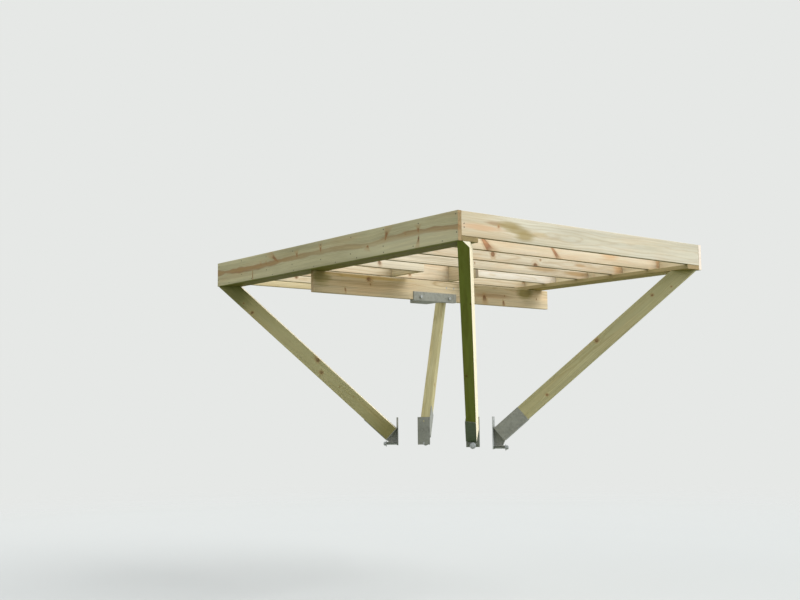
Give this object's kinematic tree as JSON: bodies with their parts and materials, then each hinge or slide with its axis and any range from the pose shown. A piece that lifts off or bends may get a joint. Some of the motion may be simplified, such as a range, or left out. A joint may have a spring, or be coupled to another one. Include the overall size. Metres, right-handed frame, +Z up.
{
  "type": "tree house platform frame",
  "caption": "Open rectangular timber platform frame of joists between two deep edge boards, on a centre beam and knee braces that stand in welded steel brackets.",
  "frame": {"origin": "centre of the back face of the beam saddle's arm plate, which is bolted to the rear support; it is half way across the frame and level with the middle of the centre beam", "axes": "+X along the joists to the right-hand edge board, +Y from the front rim joist to the back one, +Z up"},
  "size_m": [2.933, 3.414, 1.779],
  "materials": {
    "edge_board_timber": "sawn, pressure-treated, olive tint",
    "ledger_timber": "sawn, pressure-treated, dark olive tint",
    "rim_timber": "sawn, pale cream",
    "joist_timber": "sawn, pale cream to tan",
    "beam_timber": "sawn, brownish tan",
    "brace_timber": "sawn, greenish tan",
    "galvanised_plate": "hot-dip galvanised, dull grey",
    "zinc_plated_bolt": "zinc-plated, dull"
  },
  "bodies": {
    "root": {"anchor_bolt_back_left": "zinc_plated_bolt", "anchor_bolt_back_right": "zinc_plated_bolt", "anchor_bolt_front_left": "zinc_plated_bolt", "anchor_bolt_front_right": "zinc_plated_bolt", "beam_bolts": "zinc_plated_bolt", "beam_saddle": "galvanised_plate", "brace_back_left": "brace_timber", "brace_back_right": "brace_timber", "brace_front_left": "brace_timber", "brace_front_right": "brace_timber", "bracket_back_left": "galvanised_plate", "bracket_back_right": "galvanised_plate", "bracket_front_left": "galvanised_plate", "bracket_front_right": "galvanised_plate", "centre_beam": "beam_timber", "edge_board_left": "edge_board_timber", "edge_board_right": "edge_board_timber", "joist_1": "joist_timber", "joist_2": "joist_timber", "joist_3": "joist_timber", "joist_4_left": "joist_timber", "joist_4_right": "joist_timber", "joist_5": "joist_timber", "joist_6": "joist_timber", "joist_7": "joist_timber", "joist_block_left": "joist_timber", "joist_block_right": "joist_timber", "ledger_left": "ledger_timber", "ledger_right": "ledger_timber", "rim_joist_back": "rim_timber", "rim_joist_front": "rim_timber", "saddle_bolt_left": "zinc_plated_bolt", "saddle_bolt_right": "zinc_plated_bolt"}
  },
  "joints": []
}
